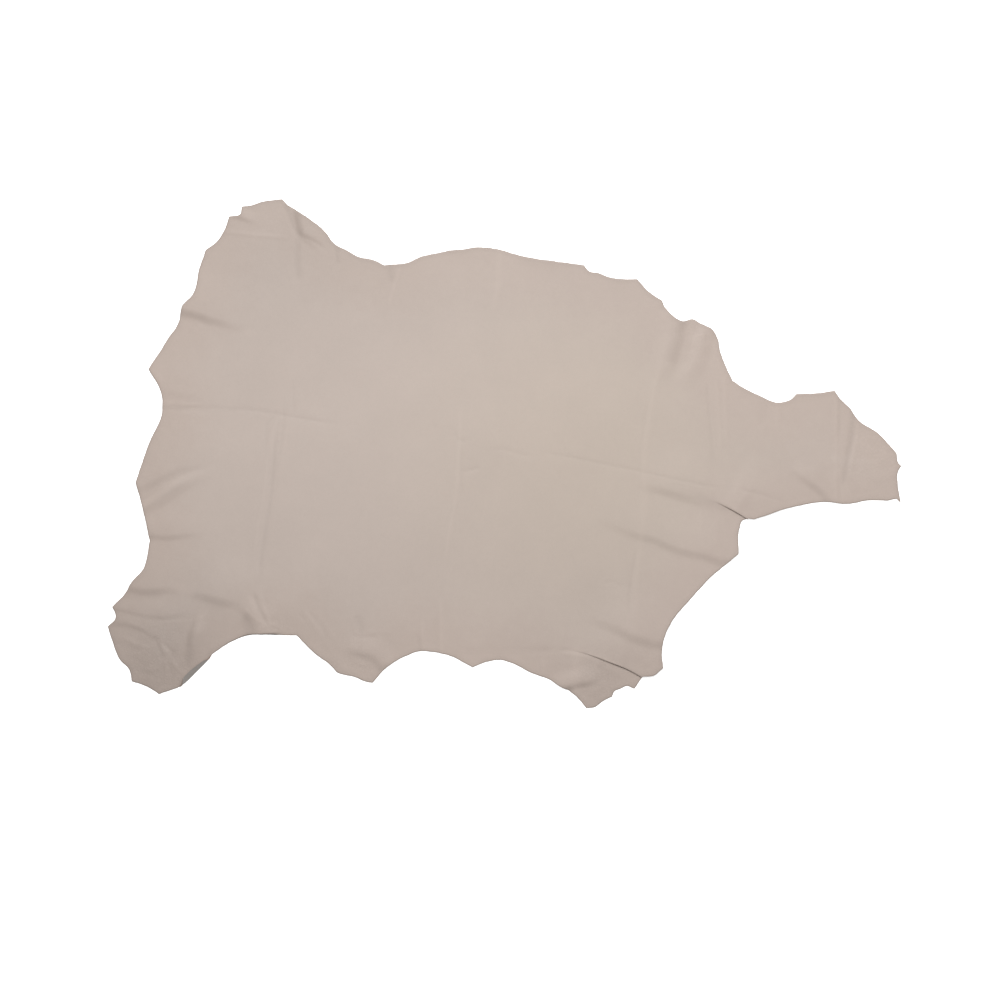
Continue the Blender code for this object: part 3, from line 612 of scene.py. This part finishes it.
class Skin:
    """Points of the sheet: where each lies, and where it was before the pleats were laid."""

    def __init__(self):
        self.ripples = with_paths(Ripple, RIPPLES, PATH_STEP)
        self.creases = with_paths(Crease, CREASES, PATH_STEP)
        self.pleats = with_paths(Pleat, PLEATS, PLEAT_STEP)
        self.patches = [Patch(*row) for row in PATCHES.values()]
        self.sections = [[pleat_section(pleat, part) for part in path.parts]
                         for pleat, path in self.pleats]
        self.laid = []
        self.pattern = []
        self.edges = []
        self.rim = kdtree.KDTree(0)
        self.thinned = []

    def gap_to_rim(self, places):
        """Distance of each place from the cut edge."""
        return np.array([self.rim.find((x, y, 0.0))[2] for x, y in places])

    def puckered(self, places):
        """How much the skin is puckered at each place, from 0 to 1."""
        amount = np.zeros(len(places))
        for patch in self.patches:
            amount = np.maximum(amount, patch.puckered * patch_shape(patch, places))
        return amount

    def crease_total(self, places, field):
        """Sum of all creases' heights, or of their painted shade and tone, at each place."""
        total = np.zeros(len(places))
        for crease, path in self.creases:
            near = path.near(places, crease.width)
            total[near] += getattr(crease, field) * crease_shape(crease, path, places[near])
        return total

    def lift(self, places):
        """Height that waves, ripples, creases, puckers and the rim's curl give each place."""
        squares = np.zeros(len(places))
        for ripple, path in self.ripples:
            near = path.near(places, max(ripple.left, ripple.right))
            squares[near] += ripple_height(ripple, path, places[near]) ** 2
        rim_gap = self.gap_to_rim(places)
        waves = 0.5 * (WAVES.height + cloud(places, WAVES)) * smooth(rim_gap / CALM_RIM)
        total = np.sqrt(squares) + waves + self.crease_total(places, "height")
        puckers = cloud(places, LONG_PUCKERS) + cloud(places, SHORT_PUCKERS)
        at_rim = 1.0 - smooth(rim_gap / CURL_REACH)
        total += self.puckered(places) * puckers + at_rim * np.maximum(cloud(places, RIM_CURL), 0.0)
        return np.maximum(total, 0.0)

    def tone(self, places):
        """How much lighter or darker the grain side is painted at each place: painted shade and light, with
        some real tone of the finish and the legs.
        """
        total = self.crease_total(places, "tone")
        for patch in self.patches:
            total += patch.tone * patch_shape(patch, places)
        return total

    def heights(self, places):
        """Height of the sheet's flesh side at each place, on the upper layer of a pleat."""
        total = self.lift(places)
        for pleat, path in self.pleats:
            near = path.near(places, pleat.lap + ROOM_OVER_LAP + pleat.ramp)
            part, left = path.measure(places[near])
            level = 1.0 - smooth((left - pleat.lap - ROOM_OVER_LAP) / pleat.ramp)
            total[near] += np.where(left >= 0.0, pleat_drop(pleat, part) * level, 0.0)
        return total

    def unpleated(self, places):
        """The places before the pleats took up their part of the skin."""
        spots = places.astype(float).copy()
        for (pleat, path), sections in zip(self.pleats, self.sections):
            taken = [girth[-1] - across[-1] for across, _, girth in sections]
            near = path.near(places, GIVE)
            part, left = path.measure(places[near])
            fade = np.where(left < 0.0, 1.0 - smooth(-left / GIVE), 0.0)
            shift = fade * np.interp(part, path.parts, taken)
            for axis in (0, 1):
                spots[near, axis] -= shift * np.interp(part, path.parts, path.normals[:, axis])
        return spots

    def add(self, laid, pattern):
        """Keep one point and give its number."""
        self.laid.append(tuple(laid))
        self.pattern.append(tuple(pattern))
        return len(self.laid) - 1

    def add_places(self, places):
        """Keep points of the plain sheet and give their numbers."""
        levels = self.heights(places) + 0.5 * THICKNESS
        spots = self.unpleated(places)
        return [self.add((*place, level), spot) for place, level, spot in zip(places, levels, spots)]

    def free_of_folds(self, places, margin):
        """Which places lie clear of the sections of the pleats."""
        free = np.ones(len(places), dtype=bool)
        for (pleat, path), sections in zip(self.pleats, self.sections):
            reaches = [across[-1] for across, _, _ in sections]
            near = path.near(places, max(reaches) + margin)
            part, left = path.measure(places[near])
            reach = np.interp(part, path.parts, reaches)
            free[near] &= (left > margin) | (left < -reach - margin)
        return free

    def add_section(self, point, away, section, earlier):
        """Lay one section of a fold, joined to the earlier one, and give its numbers by row."""
        across, levels, girth = section
        levels = levels + self.lift(point + across[:, None] * away) + 0.5 * THICKNESS
        numbers = {}
        kept = -math.inf
        for row in range(len(girth)):
            last = row == len(girth) - 1
            if last or (girth[row] - kept > ROW_GAP and girth[-1] - girth[row] > ROW_GAP):
                place = point + away * across[row]
                numbers[row] = self.add((*place, levels[row]), point + away * girth[row])
                kept = girth[row]
        if len(numbers) == 1:
            numbers[0] = numbers[len(girth) - 1]
        in_order = [numbers[row] for row in sorted(numbers)]
        self.edges += [pair for pair in zip(in_order, in_order[1:]) if pair[0] != pair[1]]
        self.edges += [(earlier[row], numbers[row]) for row in numbers if row in earlier]
        return numbers

    def add_pleat(self, path, sections):
        """Lay one pleat's folded strip and give the numbers of its last section, top to bottom."""
        numbers = {}
        for point, normal, section in zip(path.points, path.normals, sections):
            numbers = self.add_section(point, -normal, section, numbers)
        return [numbers[row] for row in sorted(numbers)]

    def add_turned_edge(self, path):
        """Lay the rim that is turned over along its fold and give the numbers of its cut edge."""
        numbers = {}
        cut_edge = []
        for point, normal, part in zip(path.points, path.normals, path.parts):
            numbers = self.add_section(point, normal, turned_section(part), numbers)
            cut_edge.append(numbers[max(numbers)])
        return cut_edge


def crease_shape(crease, path, places):
    """How much of a crease there is at each place, from 0 to 1."""
    part, left = path.measure(places)
    across = 1.0 - smooth(np.abs(left) / crease.width)
    return across * smooth(part / CREASE_FADE) * smooth((1.0 - part) / CREASE_FADE)


def patch_shape(patch, places):
    """How much of a patch there is at each place, from 0 to 1."""
    distance = np.hypot(places[:, 0] - patch.x, places[:, 1] - patch.y)
    return 1.0 - smooth(distance / patch.radius)


def number_at(outline, spot):
    """Number of the outline's point at this spot."""
    return int(np.argmin(np.hypot(*(outline - spot).T)))


def outline_points():
    """The outline's points, with those of the turned-over edge on its fold."""
    knots = [knot for stretch in OUTLINE.values() for knot in stretch]
    sharp = [turn for _, _, turn in knots]
    outline = curve_through([(x, y) for x, y, _ in knots], sharp, True, EDGE_STEP)
    first = number_at(outline, TURNED_FOLD[0])
    last = number_at(outline, TURNED_FOLD[-1])
    return np.vstack((outline[:first], line_through(TURNED_FOLD, FOLD_STEP), outline[last + 1:]))


def lay_rim(skin, outline):
    """Lay the folds that reach the rim and the rim itself, and join its points."""
    laid = {}
    for (pleat, path), sections in zip(skin.pleats, skin.sections):
        laid[number_at(outline, path.points[-1])] = skin.add_pleat(path, sections)
    fold = Path(line_through(TURNED_FOLD, FOLD_STEP))
    for place, point in zip(fold.points, skin.add_turned_edge(fold)):
        laid[number_at(outline, place)] = [point]
    rim = []
    for number, place in enumerate(outline):
        if number not in laid:
            laid[number] = skin.add_places(place[None, :])
            skin.thinned += laid[number]
        rim += laid[number]
    skin.edges += list(zip(rim, rim[1:] + rim[:1]))


def inside(outline, places):
    """Which places lie inside the outline."""
    within = np.zeros(len(places), dtype=bool)
    for start, end in zip(outline, np.roll(outline, -1, axis=0)):
        crosses = (start[1] > places[:, 1]) != (end[1] > places[:, 1])
        if start[1] != end[1]:
            at = start[0] + (places[:, 1] - start[1]) * (end[0] - start[0]) / (end[1] - start[1])
            within ^= crosses & (places[:, 0] < at)
    return within


def lattice_places(skin, outline):
    """A triangular lattice over the skin, close near the rim, folds and puckers and wider elsewhere."""
    corner = outline.min(axis=0)
    span = outline.max(axis=0) - corner
    row_height = FINE_STEP * math.sqrt(0.75)
    rows, columns = np.mgrid[0:int(span[1] / row_height) + 1, 0:int(span[0] / FINE_STEP) + 1]
    columns = columns - rows // 2
    places = np.column_stack((
        corner[0] + FINE_STEP * (columns + 0.5 * rows).ravel(),
        corner[1] + row_height * rows.ravel(),
    ))
    coarse = ((rows % 2 == 0) & (columns % 2 == 0)).ravel()
    within = inside(outline, places)
    places = places[within]
    coarse = coarse[within]
    room = skin.gap_to_rim(places)
    close = (room < RIM_STRIP) | (skin.puckered(places) > PUCKERED)
    lines = [(path, ripple.left, ripple.right) for ripple, path in skin.ripples]
    lines += [(path, crease.width, crease.width) for crease, path in skin.creases]
    lines += [(path, pleat.ramp, pleat.ramp) for pleat, path in skin.pleats]
    for path, reach_left, reach_right in lines:
        near = path.near(places, max(reach_left, reach_right))
        left = path.measure(places[near])[1]
        close[near] |= np.abs(left) < np.where(left > 0.0, reach_left, reach_right)
    kept = (coarse | close) & (room > RIM_ROWS[-1] + CROWDING * FINE_STEP)
    kept &= skin.free_of_folds(places, CROWDING * FINE_STEP)
    return places[kept]


def outward_of(outline):
    """Directions straight out of the outline at each of its points."""
    along = np.roll(outline, -1, axis=0) - np.roll(outline, 1, axis=0)
    outward = np.column_stack((-along[:, 1], along[:, 0]))
    return outward / np.hypot(outward[:, 0], outward[:, 1])[:, None]


def rim_row(skin, outline, gap):
    """A row of places this far inside the rim."""
    places = outline - gap * outward_of(outline)
    places = places[inside(outline, places)]
    places = places[skin.gap_to_rim(places) > CROWDING * gap]
    return places[skin.free_of_folds(places, CROWDING * FINE_STEP)]


def ragged(outline, folds):
    """Small steps in and out that a knife leaves along the rim, none where the rim is folded."""
    steps = cloud(outline, RAGGED_RIM)
    for spot in folds:
        steps *= smooth(np.hypot(*(outline - spot).T) / FOLD_REACH)
    return steps[:, None] * outward_of(outline)


def lay_skin():
    """All points of the sheet, with the edges that its rim and its folds must keep."""
    skin = Skin()
    outline = outline_points()
    folds = [path.points[-1] for _, path in skin.pleats] + list(line_through(TURNED_FOLD, FOLD_STEP))
    outline += ragged(outline, folds)
    skin.rim = kdtree.KDTree(len(outline))
    for number, (x, y) in enumerate(outline):
        skin.rim.insert((x, y, 0.0), number)
    skin.rim.balance()
    lay_rim(skin, outline)
    for gap in RIM_ROWS:
        skin.add_places(rim_row(skin, outline, gap))
    skin.add_places(lattice_places(skin, outline))
    return skin


def make_sheet(name):
    """The middle surface of the hide as an open mesh, in metres, centred on the origin."""
    skin = lay_skin()
    spots = [Vector(spot) for spot in skin.pattern]
    inside_only = 1
    result = delaunay_2d_cdt(spots, skin.edges, [], inside_only, SAME_PLACE)
    numbers = [origin[0] for origin in result[3]]
    faces = [[numbers[corner] for corner in face] for face in result[2]]
    laid = np.array(skin.laid)
    middle = 0.5 * (laid.min(axis=0) + laid.max(axis=0))
    middle[2] = 0.0
    mesh = bpy.data.meshes.new(name)
    mesh.from_pydata(((laid - middle) * MM).tolist(), [], faces)
    places = laid[:, :2]
    thinned = np.zeros(len(places))
    thinned[skin.thinned] = 1.0
    # Each point keeps its painted shade and tone, which the grain's colour reads.
    surface = {"rim_gap": skin.gap_to_rim(places), "tone": skin.tone(places),
               "pucker": skin.puckered(places), "thinned": thinned,
               "yellowed": patch_shape(YELLOWED, places)}
    for label, values in surface.items():
        mesh.attributes.new(label, "FLOAT", "POINT").data.foreach_set("value", values)
    mesh.validate()
    return mesh


def feed(tree, socket, value):
    """Link an input to another socket, or set it to a value."""
    if isinstance(value, bpy.types.NodeSocket):
        tree.links.new(value, socket)
    else:
        socket.default_value = value


def add_node(tree, kind, settings=(), **inputs):
    """A node with its settings, each input given as a value or linked to a socket."""
    node = tree.nodes.new("ShaderNode" + kind)
    for name, value in dict(settings).items():
        setattr(node, name, value)
    for name, value in inputs.items():
        feed(tree, node.inputs[name.replace("_", " ")], value)
    return node


def calculate(tree, operation, *terms, kind="Math"):
    """One sum on values or sockets, or on vectors where the kind is VectorMath."""
    node = add_node(tree, kind, {"operation": operation})
    for socket, term in zip(node.inputs, terms):
        feed(tree, socket, term)
    return node.outputs[0]


def total_of(tree, *terms):
    """The sum of (amount, socket) terms."""
    total = 0.0
    for amount, socket in terms:
        total = calculate(tree, "ADD", calculate(tree, "MULTIPLY", socket, amount), total)
    return total


def between(tree, value, low, high, to_low=0.0, to_high=1.0):
    """A smooth ramp over the value's range from low to high."""
    node = add_node(tree, "MapRange", {"interpolation_type": "SMOOTHSTEP"}, Value=value)
    for name, bound in (("From Min", low), ("From Max", high), ("To Min", to_low), ("To Max", to_high)):
        node.inputs[name].default_value = bound
    return node.outputs["Result"]


def millimetres(tree):
    """Places on the object in millimetres, for textures at their real scale."""
    place = add_node(tree, "TexCoord").outputs["Object"]
    scaled = add_node(tree, "VectorMath", {"operation": "SCALE"}, Vector=place, Scale=1.0 / MM)
    return scaled.outputs["Vector"]


def lumps(tree, place, size, detail, seed):
    """Soft noise around zero, from about -0.5 to 0.5, with lumps of this size."""
    node = add_node(tree, "TexNoise", {"noise_dimensions": "4D"}, Vector=place, Scale=1.0 / size,
                    Detail=detail, W=seed)
    return calculate(tree, "SUBTRACT", node.outputs["Fac"], 0.5)


def warped(tree, place, size, amount):
    """The places shifted about by noise, so that cells and lines on them run unevenly."""
    node = add_node(tree, "TexNoise", Vector=place, Scale=1.0 / size, Detail=2.0)
    shift = calculate(tree, "SUBTRACT", node.outputs["Color"], (0.5, 0.5, 0.5), kind="VectorMath")
    return calculate(tree, "MULTIPLY_ADD", shift, (amount,) * 3, place, kind="VectorMath")


BORDERS = "DISTANCE_TO_EDGE"
MIDDLES = "F1"


def cells(tree, place, size, feature):
    """Distance in cells of this size: from their middles, or from their borders."""
    node = add_node(tree, "TexVoronoi", {"feature": feature}, Vector=place, Scale=1.0 / size)
    return node.outputs["Distance"]


def surface_value(tree, label):
    """A value stored on the hide's points."""
    return add_node(tree, "Attribute", {"attribute_name": label}).outputs["Fac"]


def new_material(name, colour, **constants):
    """A material whose shader has this colour and these constants, with its tree and shader."""
    material = bpy.data.materials.new(name)
    material.use_nodes = True
    shader = material.node_tree.nodes["Principled BSDF"]
    shader.inputs["Base Color"].default_value = (*colour, 1.0)
    for label, value in constants.items():
        shader.inputs[label.replace("_", " ")].default_value = value
    return material, material.node_tree, shader


def finish(tree, shader, colour, lightness, roughness, height):
    """Link a colour of varied lightness, a roughness and a height in millimetres to the shader."""
    varied = add_node(tree, "HueSaturation", Color=colour, Value=calculate(tree, "ADD", lightness, 1.0))
    tree.links.new(varied.outputs["Color"], shader.inputs["Base Color"])
    tree.links.new(roughness, shader.inputs["Roughness"])
    bump = add_node(tree, "Bump", Height=height, Distance=MM, Strength=1.0)
    tree.links.new(bump.outputs["Normal"], shader.inputs["Normal"])


def blended(tree, factor, first, second):
    """A colour between two others, each given as a value or a socket."""
    node = add_node(tree, "Mix", {"data_type": "RGBA"})
    tree.links.new(factor, node.inputs["Factor"])
    for name, colour in (("A", first), ("B", second)):
        socket = next(s for s in node.inputs if s.name == name and s.type == "RGBA")
        feed(tree, socket, (*colour, 1.0) if isinstance(colour, tuple) else colour)
    return next(s for s in node.outputs if s.type == "RGBA")


def grain_material():
    """Smooth nappa grain: fine pebbles and pores under a satin finish, slightly clouded."""
    material, tree, shader = new_material("leather_grain", GRAIN_COLOUR, Specular_IOR_Level=0.4,
                                          Sheen_Weight=0.08, Sheen_Roughness=0.45)
    place = millimetres(tree)
    rim_gap = surface_value(tree, "rim_gap")
    pucker = surface_value(tree, "pucker")
    pebble_place = warped(tree, place, size=2.5, amount=1.0)
    pore_place = warped(tree, place, size=6.0, amount=2.0)
    wrinkle_place = warped(tree, place, size=9.0, amount=6.0)
    pebbles = between(tree, cells(tree, pebble_place, size=0.95, feature=BORDERS), 0.0, 0.22)
    pores = between(tree, cells(tree, pore_place, size=2.6, feature=MIDDLES), 0.07, 0.16)
    folds = between(tree, cells(tree, wrinkle_place, size=5.5, feature=BORDERS), 0.0, 0.3)
    wrinkles = calculate(tree, "MULTIPLY", folds, pucker)
    fine = lumps(tree, place, size=0.45, detail=3.0, seed=1.0)
    small = lumps(tree, place, size=4.0, detail=3.0, seed=2.0)
    middling = lumps(tree, place, size=16.0, detail=3.0, seed=3.0)
    broad = lumps(tree, place, size=85.0, detail=3.0, seed=4.0)
    rubbed = between(tree, rim_gap, 0.0, RUBBED_WIDTH, 1.0, 0.0)
    # The lightness takes in the painted shade and light stored on the points along creases and over
    # patches.
    lightness = total_of(
        tree, (0.05, pebbles), (0.05, pores), (0.03, wrinkles), (0.04, small), (0.04, middling),
        (0.07, broad), (-0.05, rubbed), (1.0, surface_value(tree, "tone")),
    )
    lightness = calculate(tree, "SUBTRACT", lightness, MEAN_LIGHTNESS)
    uneven_gap = total_of(tree, (1.0, rim_gap), (LEGS_UNEVEN, middling))
    legs = between(tree, uneven_gap, *LEGS_RANGE, 1.0, 0.0)
    colour = blended(tree, surface_value(tree, "yellowed"), GRAIN_COLOUR, YELLOWED_COLOUR)
    colour = blended(tree, legs, colour, LEG_COLOUR)
    bare = between(tree, rim_gap, *BARE_RANGE, BARE, 0.0)
    colour = blended(tree, bare, colour, CUT_COLOUR)
    unevenness = total_of(tree, (0.10, small), (0.10, middling), (-0.06, pebbles))
    roughness = calculate(tree, "ADD", unevenness, 0.56)
    height = total_of(tree, (0.045, pebbles), (0.05, pores), (0.03, fine), (0.10, small),
                      (0.08, wrinkles), (0.08, calculate(tree, "MULTIPLY", small, pucker)))
    finish(tree, shader, colour, lightness, roughness, height)
    return material


def flesh_material():
    """The matt, napped underside: short fibres, a little greyer, with faint vein marks."""
    material, tree, shader = new_material("leather_flesh", FLESH_COLOUR, Specular_IOR_Level=0.2,
                                          Sheen_Weight=0.35, Sheen_Roughness=0.6)
    place = millimetres(tree)
    nap_place = warped(tree, place, size=3.0, amount=2.5)
    vein_place = warped(tree, place, size=40.0, amount=45.0)
    nap = lumps(tree, nap_place, size=0.7, detail=5.0, seed=5.0)
    tufts = lumps(tree, place, size=3.5, detail=4.0, seed=6.0)
    shading = lumps(tree, place, size=55.0, detail=4.0, seed=7.0)
    veins = between(tree, cells(tree, vein_place, size=75.0, feature=BORDERS), 0.0, 0.03, 1.0, 0.0)
    lightness = total_of(tree, (0.22, nap), (0.12, tufts), (0.10, shading), (-0.05, veins))
    roughness = calculate(tree, "ADD", total_of(tree, (0.1, nap)), 0.92)
    height = total_of(tree, (0.30, nap), (0.25, tufts), (-0.10, veins))
    shade = blended(tree, between(tree, shading, -0.2, 0.2), FLESH_COLOUR, FLESH_WARM_COLOUR)
    finish(tree, shader, shade, lightness, roughness, height)
    return material


def cut_material():
    """The raw cut edge: packed fibres in the skin's thickness, browner than the grain."""
    material, tree, shader = new_material("leather_cut", CUT_COLOUR, Specular_IOR_Level=0.2,
                                          Sheen_Weight=0.2, Sheen_Roughness=0.6)
    place = millimetres(tree)
    fibre_place = warped(tree, place, size=1.0, amount=0.6)
    fibres = lumps(tree, fibre_place, size=0.3, detail=4.0, seed=8.0)
    patches = lumps(tree, place, size=9.0, detail=3.0, seed=9.0)
    lightness = total_of(tree, (0.5, fibres), (0.25, patches))
    roughness = calculate(tree, "ADD", total_of(tree, (0.15, fibres)), 0.88)
    colour = blended(tree, between(tree, patches, -0.2, 0.2), CUT_COLOUR, CUT_PALE_COLOUR)
    finish(tree, shader, colour, lightness, roughness, total_of(tree, (0.2, fibres)))
    return material


def floor_material():
    """Plain white paper, lit so evenly that it glows a little."""
    return new_material("floor", FLOOR_COLOUR, Roughness=0.9, Emission_Strength=FLOOR_GLOW,
                        Emission_Color=WHITE)[0]


def thin_the_rim(mesh):
    """Lower the grain side at the rim, and keep the flesh side on the surface that it lies on."""
    places = np.zeros(len(mesh.vertices) * 3)
    mesh.vertices.foreach_get("co", places)
    thinned = np.zeros(len(mesh.vertices))
    mesh.attributes["thinned"].data.foreach_get("value", thinned)
    on_grain = np.zeros(len(mesh.vertices))
    for face in mesh.polygons:
        if face.material_index == 0:
            on_grain[list(face.vertices)] = 1.0
    places[2::3] = np.maximum(places[2::3] - RIM_THINNING * MM * thinned * on_grain, 0.0)
    mesh.vertices.foreach_set("co", places)


def add_hide():
    """The hide as one closed thin sheet, flat where it lies on the surface."""
    middle = bpy.data.objects.new("middle", make_sheet("middle"))
    bpy.context.scene.collection.objects.link(middle)
    for material in (grain_material(), flesh_material(), cut_material()):
        middle.data.materials.append(material)
    body = middle.modifiers.new("Thickness", "SOLIDIFY")
    body.thickness = THICKNESS * MM
    body.offset = 0.0
    body.use_even_offset = True
    body.use_quality_normals = True
    body.material_offset = 1
    body.material_offset_rim = 2
    graph = bpy.context.evaluated_depsgraph_get()
    mesh = bpy.data.meshes.new_from_object(middle.evaluated_get(graph))
    bpy.data.objects.remove(middle)
    thin_the_rim(mesh)
    mesh.shade_smooth()
    mesh.set_sharp_from_angle(angle=SHARP_ANGLE)
    hide = bpy.data.objects.new("leather_hide", mesh)
    bpy.context.scene.collection.objects.link(hide)
    return hide


def add_floor():
    """The white paper that the hide lies on, a hair lower so that the two don't touch."""
    bpy.ops.mesh.primitive_plane_add(size=FLOOR_SIZE, location=(0.0, 0.0, -FLOOR_DROP))
    floor = bpy.context.object
    floor.name = "floor"
    floor.data.materials.append(floor_material())


def add_lights():
    """The lamp, aimed at the middle of the hide, and the room's even light."""
    data = bpy.data.lights.new("key", "AREA")
    data.shape = "RECTANGLE"
    data.size, data.size_y = LAMP_SIZE
    data.energy = LAMP_WATTS
    lamp = bpy.data.objects.new("key", data)
    bpy.context.scene.collection.objects.link(lamp)
    lamp.location = LAMP_PLACE
    lamp.rotation_euler = (-Vector(LAMP_PLACE)).to_track_quat("-Z", "Y").to_euler()
    world = bpy.data.worlds.new("studio")
    bpy.context.scene.world = world
    world.use_nodes = True
    background = world.node_tree.nodes["Background"]
    background.inputs["Color"].default_value = WHITE
    background.inputs["Strength"].default_value = ROOM_LIGHT


def add_camera():
    """The camera, at the height from which its view is as wide as the photograph's."""
    data = bpy.data.cameras.new("camera")
    data.sensor_width = SENSOR_MM
    data.lens = LENS_MM
    data.clip_end = FAR_END
    camera = bpy.data.objects.new("camera", data)
    bpy.context.scene.collection.objects.link(camera)
    camera.location = (*VIEW_MIDDLE, VIEW_WIDTH * data.lens / data.sensor_width)
    bpy.context.scene.camera = camera


add_camera()
hide = add_hide()
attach(hide, "root")
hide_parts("hide")
add_floor()
add_lights()
bpy.context.scene.view_settings.view_transform = "Standard"
